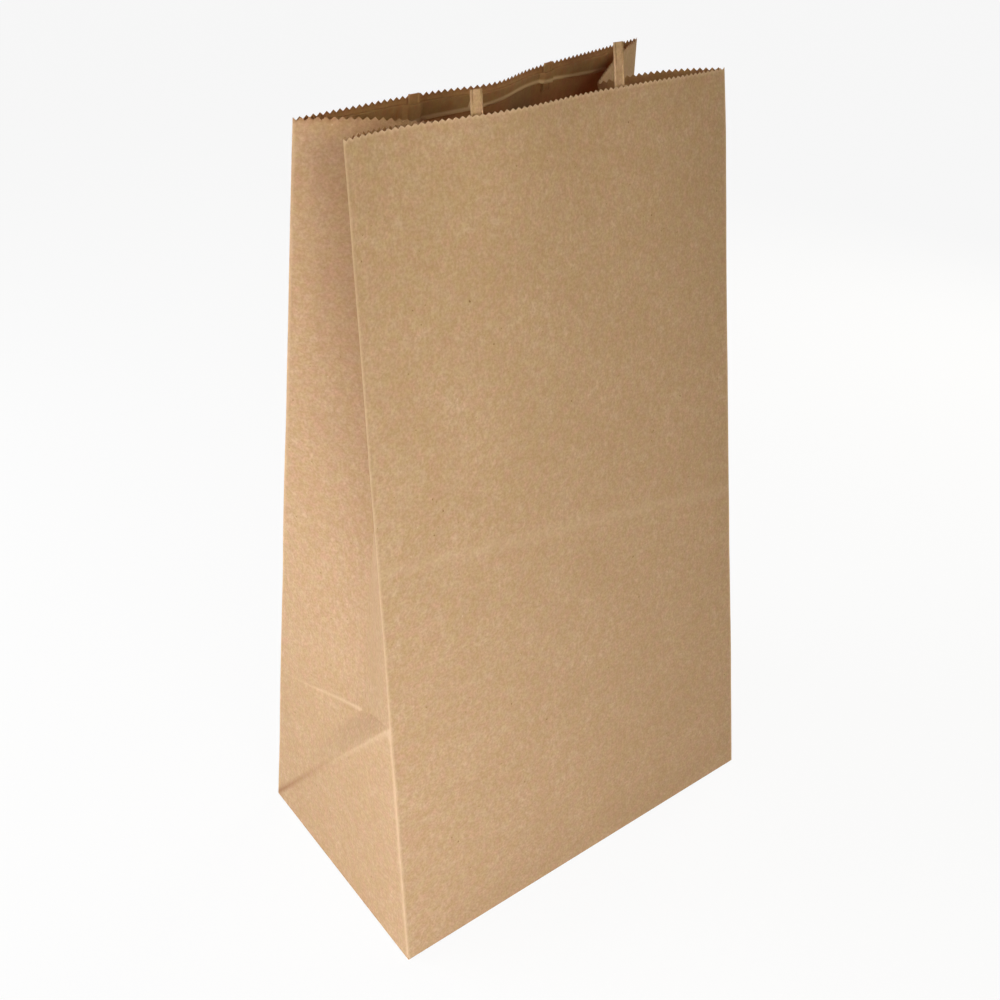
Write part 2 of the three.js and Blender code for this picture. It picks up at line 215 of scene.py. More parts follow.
# Angle between faces above which an edge stays sharp
SHEET_SMOOTH = math.radians(20)
STRIP_SMOOTH = math.radians(30)


class Folds:
    """The folded bag as functions: where a point of the flat sheet lies on the standing bag."""

    def __init__(self, s):
        self.s = s
        self.half_width = s.bag_width / 2
        self.half_depth = s.bag_depth / 2
        self.gusset_foot = FOOT_SHARE * s.bag_depth
        self.fold_height = FOLD_SHARE * s.bag_depth
        self.root_height = s.panel_height - s.tooth_height
        self.shift = Vector((
            BAG_LOW.x + self.half_width + s.base_skew,
            BAG_LOW.y + self.half_depth,
            BAG_LOW.z + s.paper,
        ))
        left = -self.half_width
        right = self.half_width
        skew = s.base_skew
        self.front_left = self.corner(
            left - skew, -1, s.front_slide, s.mouth_middle_left - s.mouth_gap_left / 2)
        self.front_right = self.corner(
            right - skew, -1, s.front_slide, s.mouth_middle_right - s.mouth_gap_right / 2)
        self.back_left = self.corner(
            left + skew, 1, s.back_slide_left, s.mouth_middle_left + s.mouth_gap_left / 2)
        self.back_right = self.corner(
            right + skew, 1, s.back_slide_right, s.mouth_middle_right + s.mouth_gap_right / 2)

    def corner(self, base_x, side, slide, top_y):
        """A corner fold: a straight line from a base corner up to the mouth."""
        base_y = side * self.half_depth
        run = math.hypot(slide, top_y - base_y)
        base = Vector((base_x, base_y, 0)) + self.shift
        rise = math.sqrt(self.s.panel_height ** 2 - run ** 2)
        top = Vector((base_x + slide, top_y, rise)) + self.shift
        return lambda height: base.lerp(top, height / self.s.panel_height)

    def mouth_share(self, height):
        """How strongly the waves of the mouth show at a height."""
        foot = self.s.bow_foot
        return max(0, (height - foot) / (self.s.panel_height - foot)) ** 2

    def upper_height(self, column, row, low, tooth):
        """The height along the paper of a row between a crease and the toothed mouth."""
        if row == UPPER_ROWS:
            return self.s.panel_height - (0 if column % 2 == 0 else tooth)
        top = self.root_height - self.s.tooth_height
        return low + (top - low) * graded(row / (UPPER_ROWS - 1))

    def front(self, share, height):
        """A point of the front panel: its waves at the mouth die out towards the right."""
        point = self.front_left(height).lerp(self.front_right(height), share)
        wave = math.sin(4 * math.pi * share) * (1 - share)
        point.y += self.s.front_wave * wave * self.mouth_share(height)
        return point

    def back(self, share, height):
        """A point of the back panel, which bows in at the mouth and has one dent."""
        point = self.back_left(height).lerp(self.back_right(height), share)
        dent = math.exp(-((share - DENT_PLACE) / DENT_WIDTH) ** 2)
        bow = self.s.back_bow + self.s.back_dent * dent
        point.y -= bow * math.sin(math.pi * share) * self.mouth_share(height)
        return point

    def arm(self, side, from_front, reach, height):
        """A gusset arm, from its corner fold (reach 0) to the gusset's middle crease (reach 1)."""
        near = (self.front_left if side < 0 else self.front_right)(height)
        far = (self.back_left if side < 0 else self.back_right)(height)
        across = far - near
        gap = across.length
        across.normalize()
        inward = Vector((across.y, -across.x, 0)).normalized() * -side
        rise = max(0, (height - self.gusset_foot) / (self.s.panel_height - self.gusset_foot))
        offset = self.s.left_offset if side < 0 else self.s.right_offset
        bulge = self.s.left_bulge if side < 0 else self.s.right_bulge
        front_reach = self.half_depth - offset
        back_reach = self.half_depth + offset
        forward = (gap ** 2 + front_reach ** 2 - back_reach ** 2) / (2 * gap)
        depth = math.sqrt(front_reach ** 2 - forward ** 2) * (FOOT_SLACK + (1 - FOOT_SLACK) * rise)
        # Softly hollowed at its foot, and straight up to a sharp middle crease higher up
        low = 1 - min(1, rise / SOFT_RISE)
        middle = near.lerp(far, forward / gap) - across * FOOT_FORWARD * low
        soft = FOOT_SOFTNESS * low
        hollow = reach * (1 - soft) + reach ** 2 * (3 - 2 * reach) * soft
        point = (near if from_front else far).lerp(middle, reach) + inward * depth * hollow
        if from_front:
            midway = 4 * reach * (1 - reach)
            point += across * bulge * midway * rise
        point.z -= self.s.apex_drop * (reach * rise) ** 2
        return point


def deselect_all():
    """Leave nothing selected, because an operator acts on all that is."""
    for piece in bpy.context.selected_objects:
        piece.select_set(False)


def edit(operations):
    """Run operations in edit mode on the active object with all of it selected."""
    bpy.ops.object.mode_set(mode="EDIT")
    bpy.ops.mesh.select_all(action="SELECT")
    operations()
    bpy.ops.object.mode_set(mode="OBJECT")


def sheet_of_grid(columns, rows, place):
    """A grid primitive as flat paper, each of whose points is carried to its place on the bag."""
    deselect_all()
    bpy.ops.mesh.primitive_grid_add(x_subdivisions=columns, y_subdivisions=rows, size=1)
    piece = bpy.context.object
    for vertex in piece.data.vertices:
        column = round((vertex.co.x + 0.5) * columns)
        row = round((vertex.co.y + 0.5) * rows)
        vertex.co = place(column, row)
    return piece


def joined(pieces, name):
    """The pieces as one object, with their shared borders merged and their faces outwards."""
    deselect_all()
    for piece in pieces:
        piece.select_set(True)
    bpy.context.view_layer.objects.active = pieces[0]
    bpy.ops.object.join()
    piece = bpy.context.object
    piece.name = name
    piece.data.name = name

    def weld():
        bpy.ops.mesh.remove_doubles(threshold=SHEET_WELD)
        bpy.ops.mesh.dissolve_degenerate(threshold=SHEET_WELD / 2)
        bpy.ops.mesh.normals_make_consistent(inside=False)

    edit(weld)
    return piece


def with_modifier(piece, kind, **settings):
    """Add a modifier with its settings and apply it."""
    deselect_all()
    piece.select_set(True)
    bpy.context.view_layer.objects.active = piece
    modifier = piece.modifiers.new(kind.title(), kind)
    for key, value in settings.items():
        setattr(modifier, key, value)
    bpy.ops.object.modifier_apply(modifier=modifier.name)


def graded(share):
    """Rows that crowd together near the start, where a crease lies."""
    return share * (CROWDING + (1 - CROWDING) * share)


def sway(point):
    """How far the standing paper strays from its true folds: nothing on the table, most higher up."""
    free = min(1, max(0, point.z / FREE_HEIGHT))
    slow = noise.noise_vector(point / SLOW_WAVE) * SLOW_STRAY
    quick = noise.noise_vector(point / QUICK_WAVE) * QUICK_STRAY
    return (slow + quick) * free


def swayed(piece):
    """Let every point of a piece sway with the paper that it is part of or glued to."""
    # Without a seed the noise starts from the clock. One seed for all keeps glued pieces together.
    noise.seed_set(SWAY_SEED)
    for vertex in piece.data.vertices:
        vertex.co += sway(vertex.co)


def mark(piece, name, value_at):
    """Keep a value for each point as an attribute that the paper's material reads."""
    attribute = piece.data.attributes.new(name, "FLOAT", "POINT")
    for vertex in piece.data.vertices:
        attribute.data[vertex.index].value = value_at(vertex.co)


def near_line(point, start, end, reach):
    """1 on a line, 0 beyond its reach, and how far along the line the point lies."""
    along = end - start
    share = max(0, min(1, (point - start).dot(along) / along.length_squared))
    distance = (start + along * share - point).length
    return max(0, 1 - distance / reach), share


def dress(piece, *materials):
    """Give a piece its materials in place of those that it has."""
    piece.data.materials.clear()
    for material in materials:
        piece.data.materials.append(material)


def finish_piece(piece, node):
    """Tie a piece to the solid that it stands for."""
    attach(piece, BODY)
    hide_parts(node)


def panels(s, folds):
    """The front panel, the back panel and the base."""
    def front_height(column, row):
        if row <= FRONT_FOOT_ROWS:
            return s.bag_depth * row / FRONT_FOOT_ROWS
        return folds.upper_height(column, row - FRONT_FOOT_ROWS, s.bag_depth, s.front_tooth_height)

    def back_height(column, row):
        if row <= BACK_FOOT_ROWS:
            return folds.fold_height * row / BACK_FOOT_ROWS
        return folds.upper_height(column, row - BACK_FOOT_ROWS, folds.fold_height, s.tooth_height)

    def front(column, row):
        return folds.front(column / PANEL_COLUMNS, front_height(column, row))

    def back(column, row):
        return folds.back(column / PANEL_COLUMNS, back_height(column, row))

    def base(column, row):
        share = column / PANEL_COLUMNS
        return folds.front(share, 0).lerp(folds.back(share, 0), row / SIDE_COLUMNS)

    return [
        sheet_of_grid(PANEL_COLUMNS, FRONT_FOOT_ROWS + UPPER_ROWS, front),
        sheet_of_grid(PANEL_COLUMNS, BACK_FOOT_ROWS + UPPER_ROWS, back),
        sheet_of_grid(PANEL_COLUMNS, SIDE_COLUMNS, base),
    ]


def gusset(s, folds, side):
    """One gusset: its two arms, the triangle standing at its foot and the two facets between."""
    front_fold = folds.front_left if side < 0 else folds.front_right
    back_fold = folds.back_left if side < 0 else folds.back_right
    corner = back_fold(0)

    def arm(from_front, column, row):
        low = s.bag_depth if from_front else folds.fold_height
        reach = column / SIDE_COLUMNS
        start = low + (folds.gusset_foot - low) * reach
        height = folds.upper_height(column, row, start, s.tooth_height)
        return folds.arm(side, from_front, reach, height)

    def standing_triangle(column, row):
        height = s.bag_depth * row / FRONT_FOOT_ROWS
        return front_fold(height).lerp(corner, column / SIDE_COLUMNS)

    def facet(from_front, column, row):
        """Flat at the base's corner, and hollowed towards the foot of the arms."""
        share = 1 - row / SIDE_COLUMNS
        reach = column / SIDE_COLUMNS
        level = reach / 2 if from_front else 1 - reach / 2
        flat = front_fold(s.bag_depth).lerp(back_fold(folds.fold_height), level)
        hollow = share * (1.5 - 0.5 * share ** 2)
        top = flat.lerp(arm(from_front, column, 0), share * hollow)
        return corner.lerp(top, share)

    front_then_back = (True, False)
    return [
        *(sheet_of_grid(SIDE_COLUMNS, UPPER_ROWS, partial(arm, half)) for half in front_then_back),
        sheet_of_grid(SIDE_COLUMNS, FRONT_FOOT_ROWS, standing_triangle),
        *(sheet_of_grid(SIDE_COLUMNS, SIDE_COLUMNS, partial(facet, half)) for half in front_then_back),
    ]


def build_bag():
    """The folded sheet: two panels, the base, two gussets and the glued laps, as thick as paper."""
    s = sizes()
    folds = Folds(s)
    bag = joined([*panels(s, folds), *gusset(s, folds, -1), *gusset(s, folds, 1)], "folded_sheet")
    add_laps(bag, s, folds)
    # Pale folds and edges, rubbed and with a painted highlight, and painted shade in the creases
    rub_and_highlight_at, shade = fold_marks(s, folds)
    mark(bag, "rub_and_highlight", rub_and_highlight_at)
    mark(bag, "crease_shade", shade)
    swayed(bag)
    dress(bag, kraft_paper("recycled_kraft_paper"), kraft_paper("shaded_inner_kraft_paper"))
    with_modifier(
        bag, "SOLIDIFY", thickness=s.paper, offset=-1, use_rim=True, material_offset=1)
    deselect_all()
    bag.select_set(True)
    bpy.context.view_layer.objects.active = bag
    bpy.ops.object.shade_smooth_by_angle(angle=SHEET_SMOOTH)
    finish_piece(bag, "bag_body")


# Pale lines, partly rubbed paper and partly a painted highlight where a fold or cut edge catches the
# light: half the width of a line, and how pale it is, where 1 is fully. The slanting crease is
# palest at the front fold. The soft ridge is least pale at the back fold, and fully at the middle
# crease. The band and the front lip are painted highlights.
FOLD_REACH = 1.3 * MM
SLANT_RUB_AND_HIGHLIGHT = 0.75
RIDGE_REACH, RIDGE_RUB_AND_HIGHLIGHT = 1.6 * MM, 0.3
BAND_REACH, BAND_HIGHLIGHT = 6 * MM, 0.5
LIP_HIGHLIGHT = 0.9

# The gusset's soft ridge is followed in this many steps, and looked for this far above and below
RIDGE_STEPS = 12
RIDGE_MARGIN = 6 * MM

# Heights at the left and right fold of the faint band on the front: a painted highlight along the
# slight ridge that a crossways fold left there
FRONT_BAND = (142 * MM, 115 * MM)

# The toothed edges: how many tooth heights deep each is, and how far its panel may stray from the
# straight line between the folds, in front with its waves and behind beyond its bow and dent
FRONT_EDGE_TEETH, FRONT_STRAY = 1.1, 3 * MM
BACK_EDGE_TEETH, BACK_STRAY = 1.3, 1 * MM

# Painted shade lies just above the slanting crease, deep in its valley, thins out along it, and
# darkens the back edge's tips
SHADE_RISE = 0.7 * MM
SHADE_REACH = 1.6 * MM
SHADE_FADE = 1.7
TIP_SHADE = 0.8


def fold_marks(s, folds):
    """Two functions of a point: how pale it is, from rubbing and a painted highlight, and its painted
    shade.
    """
    top = s.panel_height
    corners = [
        (fold(0), fold(top))
        for fold in (folds.front_left, folds.front_right, folds.back_left, folds.back_right)
    ]
    slants = []
    ridges = []
    for side in (-1, 1):
        front_fold = folds.front_left if side < 0 else folds.front_right
        back_fold = folds.back_left if side < 0 else folds.back_right
        slants.append((back_fold(0), front_fold(s.bag_depth)))
        climb = folds.gusset_foot - folds.fold_height
        stations = [
            folds.arm(
                side, False, step / RIDGE_STEPS, folds.fold_height + climb * step / RIDGE_STEPS)
            for step in range(RIDGE_STEPS + 1)
        ]
        ridges.append(list(zip(stations, stations[1:])))
    low_ridge = folds.fold_height - RIDGE_MARGIN
    high_ridge = folds.gusset_foot + RIDGE_MARGIN
    band = (folds.front(0, FRONT_BAND[0]), folds.front(1, FRONT_BAND[1]))
    front_roots = [
        fold(top - FRONT_EDGE_TEETH * s.front_tooth_height)
        for fold in (folds.front_left, folds.front_right)
    ]
    back_roots = [
        fold(top - BACK_EDGE_TEETH * s.tooth_height)
        for fold in (folds.back_left, folds.back_right)
    ]

    def root_at(roots, x):
        """Where the teeth of a straight edge start, at a place across the bag."""
        return roots[0].lerp(roots[1], (x - roots[0].x) / (roots[1].x - roots[0].x))

    def on_front_edge(point):
        root = root_at(front_roots, point.x)
        return point.z > root.z and point.y < root.y + FRONT_STRAY

    def on_back_edge(point):
        root = root_at(back_roots, point.x)
        bow = s.back_bow + s.back_dent
        return point.z > root.z and point.y > root.y - (bow + BACK_STRAY)

    def rub_and_highlight_at(point):
        value = max(near_line(point, *line, FOLD_REACH)[0] for line in corners)
        for line in slants:
            near, share = near_line(point, *line, FOLD_REACH)
            value = max(value, near * SLANT_RUB_AND_HIGHLIGHT * share)
        if low_ridge < point.z < high_ridge:
            for ridge in ridges:
                for step, line in enumerate(ridge):
                    near, share = near_line(point, *line, RIDGE_REACH)
                    along = (step + share) / RIDGE_STEPS
                    value = max(value, near * (RIDGE_RUB_AND_HIGHLIGHT + (1 - RIDGE_RUB_AND_HIGHLIGHT) * along))
        value = max(value, near_line(point, *band, BAND_REACH)[0] * BAND_HIGHLIGHT)
        return max(value, LIP_HIGHLIGHT if on_front_edge(point) else 0)

    # Painted shade: the dark valley just above the slanting crease and the shaded tips of the back
    # edge
    def shade(point):
        value = 0
        for line in slants:
            near, share = near_line(point - Vector((0, 0, SHADE_RISE)), *line, SHADE_REACH)
            value = max(value, near * max(0, 1 - share * SHADE_FADE))
        return max(value, TIP_SHADE if on_back_edge(point) else 0)

    return rub_and_highlight_at, shade


# How far below the tooth roots the back lap ends, and how many papers each lap lies off the sheet
SEAM_STOP = 3.7 * MM
SEAM_LIFT = 1.1
FLAP_LIFT = -1
TUCK_LIFT = 2.05


def add_laps(bag, s, folds):
    """The glued laps of the sheet: the strip down the back, the closing flap and the end tucks."""
    inset = s.lap_inset
    seam_top = folds.root_height - SEAM_STOP
    half_width = folds.half_width - s.base_skew - inset
    half_depth = folds.half_depth - inset

    def seam(column, row):
        share = SEAM_PLACE + (1 - column / SEAM_GRID[0]) * s.seam_lap / s.bag_width
        point = folds.back(share, inset + (seam_top - inset) * row / SEAM_GRID[1])
        point.y += SEAM_LIFT * s.paper
        return point

    def flap(column, row):
        depth = s.flap_reach * (1 - row / FLAP_GRID[1])
        slant = s.flap_slant_width * max(0, 1 - depth / s.flap_slant_depth)
        x = (2 * column / FLAP_GRID[0] - 1) * (half_width - slant)
        y = half_depth - s.flap_reach + depth
        return folds.shift + Vector((x, y, FLAP_LIFT * s.paper))

    def tuck(side, column, row):
        outer = Vector((side * half_width, (2 * column / TUCK_GRID[0] - 1) * half_depth, 0))
        tip = Vector((side * (half_width - half_depth), 0, 0))
        turned = row if side < 0 else TUCK_GRID[1] - row
        point = outer.lerp(tip, turned / TUCK_GRID[1])
        return point + folds.shift + Vector((0, 0, TUCK_LIFT * s.paper))

    laps = [
        sheet_of_grid(*SEAM_GRID, seam),
        sheet_of_grid(*FLAP_GRID, flap),
        *(sheet_of_grid(*TUCK_GRID, partial(tuck, side)) for side in (-1, 1)),
    ]
    deselect_all()
    for lap in laps:
        lap.select_set(True)
    bag.select_set(True)
    bpy.context.view_layer.objects.active = bag
    bpy.ops.object.join()


def carried_copy(node, name):
    """A copy of a solid with its points merged, ready to be given its small forms."""
    deselect_all()
    source = frame["nodes"][node]
    piece = source.copy()
    piece.data = source.data.copy()
    piece.name = name
    piece.data.name = name
    piece.parent = None
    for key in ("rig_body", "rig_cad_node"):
        del piece[key]
    bpy.context.scene.collection.objects.link(piece)
    piece.select_set(True)
    bpy.context.view_layer.objects.active = piece
    edit(lambda: bpy.ops.mesh.remove_doubles(threshold=COPY_WELD))
    return piece


# The patch's cut border, a painted highlight where it catches the light: the step along the strip
# in which its lower edge is measured, how bright the highlight is at the edge, and the height over
# which that falls by 1. The pale tone starts to fade just under 1.
BORDER_STEP = 1 * MM
BORDER_HIGHLIGHT = 1.8
BORDER_FADE = 1 * MM
PATCH_CUTS = 7


def lower_edge(piece):
    """The lower border of an upright strip, as its height at any place along it."""
    lows = {}
    for vertex in piece.data.vertices:
        key = round(vertex.co.x / BORDER_STEP)
        lows[key] = min(lows.get(key, math.inf), vertex.co.z)
    places = sorted(lows)

    def height(x):
        place = x / BORDER_STEP
        after = next((i for i, key in enumerate(places) if key >= place), len(places) - 1)
        before = max(0, after - 1)
        span = places[after] - places[before]
        share = (place - places[before]) / span if span else 0
        share = max(0, min(1, share))
        return lows[places[before]] * (1 - share) + lows[places[after]] * share

    return height


def build_patch(side, paper):
    """A glued patch of one panel, with a painted highlight along its cut border."""
    piece = carried_copy(f"handle_patch_{side}", f"glued_patch_{side}")
    border = lower_edge(piece)
    edit(lambda: bpy.ops.mesh.subdivide(number_cuts=PATCH_CUTS))
    mark(piece, "rub_and_highlight", lambda co: BORDER_HIGHLIGHT - (co.z - border(co.x)) / BORDER_FADE)
    finish_strip(piece, paper, f"handle_patch_{side}")


def finish_strip(piece, paper, node):
    """Sway, smooth, dress and tie down a patch or a stub."""
    swayed(piece)
    bpy.ops.object.shade_smooth_by_angle(angle=STRIP_SMOOTH)
    dress(piece, paper)
    finish_piece(piece, node)


def build_handles():
    """The paper patches and the stubs of the folded straps."""
    patch = kraft_paper("patch_kraft_paper")
    straps = {
        "front": kraft_paper("folded_strap_paper"),
        "back": kraft_paper("shaded_strap_paper"),
    }
    for side, strap in straps.items():
        build_patch(side, patch)
        for place in ("left", "right"):
            piece = carried_copy(f"strap_stub_{side}_{place}", f"folded_stub_{side}_{place}")
            finish_strip(piece, strap, f"strap_stub_{side}_{place}")


def add_node(tree, kind, inputs=None, **settings):
    """Add a shader node, set its properties and its inputs: a value, or a socket to link from."""
    node = tree.nodes.new(kind)
    for key, value in settings.items():
        setattr(node, key, value)
    for key, value in (inputs or {}).items():
        if isinstance(value, bpy.types.NodeSocket):
            tree.links.new(value, node.inputs[key])
        else:
            node.inputs[key].default_value = value
    return node


def new_material(name):
    """A material with an empty node tree."""
    material = bpy.data.materials.new(name)
    material.use_nodes = True
    material.node_tree.nodes.clear()
    return material


# Noise patterns of kraft paper: size of a feature, detail, roughness, and whether it runs along the
# web, as the fibres do that the paper machine drags into line.
PATTERNS = {
    # Pulp settles unevenly, in clouds of 10 to 20 mm.
    "cloud": (16 * MM, 4.0, 0.6, False),
    # Clots of recycled pulp, 2 to 4 mm wide, that keep a trace of what they were dyed with.
    "pink_blotch": (3.2 * MM, 3.0, 0.6, False),
    "olive_blotch": (2.6 * MM, 3.0, 0.6, False),
    # A pulp fibre is some 0.03 mm wide and 2 to 3 mm long, too fine to show, so streaks as long as
    # a fibre but much broader stand for bundles of them.
    "fibre": (1.9 * MM, 3.0, 0.7, True),
    # The pits between fibres are about 0.1 mm wide, too fine to show, so they are drawn at 0.8 mm.
    "grain": (0.8 * MM, 2.0, 0.6, False),
    # Bark and ink specks are 0.2 to 0.5 mm wide: the highest tops of a 1.3 mm pattern.
    "speck": (1.3 * MM, 1.0, 0.55, False),
    # Pale fibre ends are finer still and are drawn as coarse as the specks, so that they show.
    "pale_speck": (1.1 * MM, 1.0, 0.55, True),
}

# The web runs up the bag, and a pattern along it is longer than it is wide by 1 to this last number
WEB_STRETCH = (1, 1, 0.7)

# What colours the paper, in order: a pattern or a mark, the values between which it sets in, how
# much it covers at most, and its colour, where the pale folds' tint is the paper's own tone for
# rubbed paper with a painted highlight, and the crease mark is painted shade
TINTS = (
    ("cloud", 0.35, 0.65, 0.28, "kraft_dark"),
    ("pink_blotch", 0.38, 0.62, 0.45, "kraft_pink"),
    ("olive_blotch", 0.38, 0.62, 0.5, "kraft_olive"),
    ("fibre", 0.36, 0.64, 0.4, "kraft_dark"),
    ("grain", 0.36, 0.64, 0.42, "grain"),
    ("pale_speck", 0.78, 0.86, 0.6, "fleck_pale"),
    ("speck", 0.76, 0.84, 0.8, "fleck_dark"),
    # Pale folds and cut edges: rubbed paper with a painted highlight
    ("rub_and_highlight", 0.25, 0.95, 1.0, "rubbed"),
    # Painted shade in a deep crease and on the back edge's teeth
    ("crease_shade", 0.0, 1.0, 0.75, "crease"),
)

# Each paper: its main tone, how strong its clouds are, its tone for pale folds, rubbed and with a
# painted highlight, and how much that covers
PAPERS = {
    # Outer face of the bag: unbleached kraft paper with recycled pulp, dried but neither coated nor
    # glazed. It looks matt and warm brown, softly mottled, with a few specks, and pale at its folds,
    # where it is rubbed and has a painted highlight.
    "recycled_kraft_paper": ("kraft", 1.0, "fold", 0.6),
    # Inner face of the same paper, seen by light that has come through it. Its tone is painted deeper
    # and warmer than the outer face, as painted shade with the warm tint of that light, and its folds
    # stay as dark as the rest.
    "shaded_inner_kraft_paper": ("kraft_inner_shaded", 1.0, "kraft_inner_shaded", 0.3),
    # Strip of kraft paper, cut and glued down over the handle's ends. It looks redder and darker
    # than the sheet, with a painted highlight along its cut border, where the border catches the
    # light.
    "patch_kraft_paper": ("patch", 0.8, "patch_edge", 0.95),
    # Kraft paper folded flat and glued into a strap. It looks firm and a little paler than the sheet.
    "folded_strap_paper": ("strap", 1.0, "fold", 0.6),
    # The back handle's strap, of the same folded paper, painted a deeper brown as painted shade with
    # the warm light of the mouth.
    "shaded_strap_paper": ("strap_back_shaded", 1.0, "fold", 0.6),
}

# Dry cellulose: nearly no gloss, and fibres that stand up a few hundredths of a millimetre
PAPER_ROUGHNESS = 0.88
PAPER_SPECULAR = 0.28
PAPER_IOR = 1.5
FIBRE_RELIEF = 0.06 * MM
RELIEF_STRENGTH = 0.4

# Share of the light that passes each face of the thin paper
SEE_THROUGH = 0.14


def kraft_paper(name):
    """Kraft paper: matt, cloudy, with fibres along the web and a few dark and pale flecks."""
    c = colours()
    tone, cloud_share, rub_and_highlight_tone, rub_and_highlight_share = PAPERS[name]
    own_shares = {"cloud": cloud_share, "rub_and_highlight": rub_and_highlight_share}
    material = new_material(name)
    tree = material.node_tree
    place = add_node(tree, "ShaderNodeTexCoord").outputs["Object"]
    along = add_node(
        tree, "ShaderNodeMapping", {"Vector": place, "Scale": WEB_STRETCH}).outputs["Vector"]
    values = {}
    for pattern, (size, detail, roughness, runs_along) in PATTERNS.items():
        values[pattern] = add_node(tree, "ShaderNodeTexNoise", {
            "Vector": along if runs_along else place,
            "Scale": 1 / size, "Detail": detail, "Roughness": roughness,
        }).outputs["Fac"]
    for attribute in ("rub_and_highlight", "crease_shade"):
        values[attribute] = add_node(
            tree, "ShaderNodeAttribute", attribute_name=attribute, attribute_type="GEOMETRY"
        ).outputs["Fac"]

    base = (*getattr(c, tone), 1)
    # The patterns, then the pale folds, rubbed and with a painted highlight, then the painted shade of
    # creases
    for source, low, high, most, tint in TINTS:
        share = add_node(tree, "ShaderNodeMapRange", {
            "Value": values[source], "From Min": low, "From Max": high,
            "To Max": most * own_shares.get(source, 1),
        }).outputs["Result"]
        over = getattr(c, rub_and_highlight_tone if tint == "rubbed" else tint)
        base = add_node(
            tree, "ShaderNodeMix", {0: share, 6: base, 7: (*over, 1)}, data_type="RGBA").outputs[2]

    relief = add_node(
        tree, "ShaderNodeMath", {0: values["grain"], 1: values["fibre"]}, operation="ADD").outputs[0]
    bump = add_node(tree, "ShaderNodeBump", {
        "Height": relief, "Strength": RELIEF_STRENGTH, "Distance": FIBRE_RELIEF}).outputs["Normal"]
    face = add_node(tree, "ShaderNodeBsdfPrincipled", {
        "Base Color": base, "Normal": bump, "Roughness": PAPER_ROUGHNESS,
        "Specular IOR Level": PAPER_SPECULAR, "IOR": PAPER_IOR}).outputs[0]
    through = add_node(
        tree, "ShaderNodeBsdfTranslucent", {"Color": (*c.glow, 1), "Normal": bump}).outputs[0]
    sheet = add_node(
        tree, "ShaderNodeMixShader", {0: SEE_THROUGH, 1: face, 2: through}).outputs[0]
    add_node(tree, "ShaderNodeOutputMaterial", {"Surface": sheet})
    return material


def seen_directly(tree):
    """1 for rays from the camera or from a shiny or clear surface, which show the white studio."""
    path = add_node(tree, "ShaderNodeLightPath").outputs
    seen = path["Is Camera Ray"]
    for ray in ("Is Glossy Ray", "Is Transmission Ray"):
        seen = add_node(
            tree, "ShaderNodeMath", {0: seen, 1: path[ray]}, operation="MAXIMUM").outputs[0]
    return seen


WHITE = (1, 1, 1, 1)
FLOOR_SIZE = 6

# How bright the seen floor is of itself, and how much of what is seen is that
FLOOR_GLOW = 0.995
FLOOR_GLOW_SHARE = 0.93


def studio_white(name, tone):
    """A studio floor for a white background."""
    # Seamless background paper off the roll: matt and without an edge or a seam, so the camera sees
    # an even near-white, with the object's soft shadow left in it.
    material = new_material(name)
    tree = material.node_tree
    diffuse = add_node(tree, "ShaderNodeBsdfDiffuse", {"Color": (*tone, 1)}).outputs[0]
    glow = add_node(
        tree, "ShaderNodeEmission", {"Color": WHITE, "Strength": FLOOR_GLOW}).outputs[0]
    share = add_node(
        tree, "ShaderNodeMath", {0: seen_directly(tree), 1: FLOOR_GLOW_SHARE},
        operation="MULTIPLY").outputs[0]
    mix = add_node(tree, "ShaderNodeMixShader", {0: share, 1: diffuse, 2: glow}).outputs[0]
    add_node(tree, "ShaderNodeOutputMaterial", {"Surface": mix})
    return material


# The photograph's camera, worked out from the bag's own edges: its focal length and optical centre
# in pixels of the square frame, its place in metres, how it is turned, and how near it sees
FOCAL_PIXELS = 1215.2
IMAGE_PIXELS = 1000
OPTICAL_CENTRE_Y = 425
SENSOR_MM = 36
CAMERA_PLACE = (-0.22300, -0.26926, 0.33524)
CAMERA_AZIMUTH = math.radians(-38.461)
CAMERA_ELEVATION = math.radians(27.727)
CAMERA_ROLL = math.radians(1.252)
NEAREST_SEEN = 0.01


def build_camera():
    """The camera of the photograph."""
    data = bpy.data.cameras.new("photo_view")
    data.sensor_width = SENSOR_MM
    data.lens = FOCAL_PIXELS / IMAGE_PIXELS * SENSOR_MM
    data.shift_y = (OPTICAL_CENTRE_Y - IMAGE_PIXELS / 2) / IMAGE_PIXELS
    data.clip_start = NEAREST_SEEN
    camera = bpy.data.objects.new("photo_view", data)
    turn = (
        Matrix.Rotation(CAMERA_AZIMUTH, 3, "Z")
        @ Matrix.Rotation(math.pi / 2 - CAMERA_ELEVATION, 3, "X")
        @ Matrix.Rotation(CAMERA_ROLL, 3, "Z")
    )
    camera.matrix_world = Matrix.Translation(CAMERA_PLACE) @ turn.to_4x4()
    bpy.context.scene.collection.objects.link(camera)
    bpy.context.scene.camera = camera


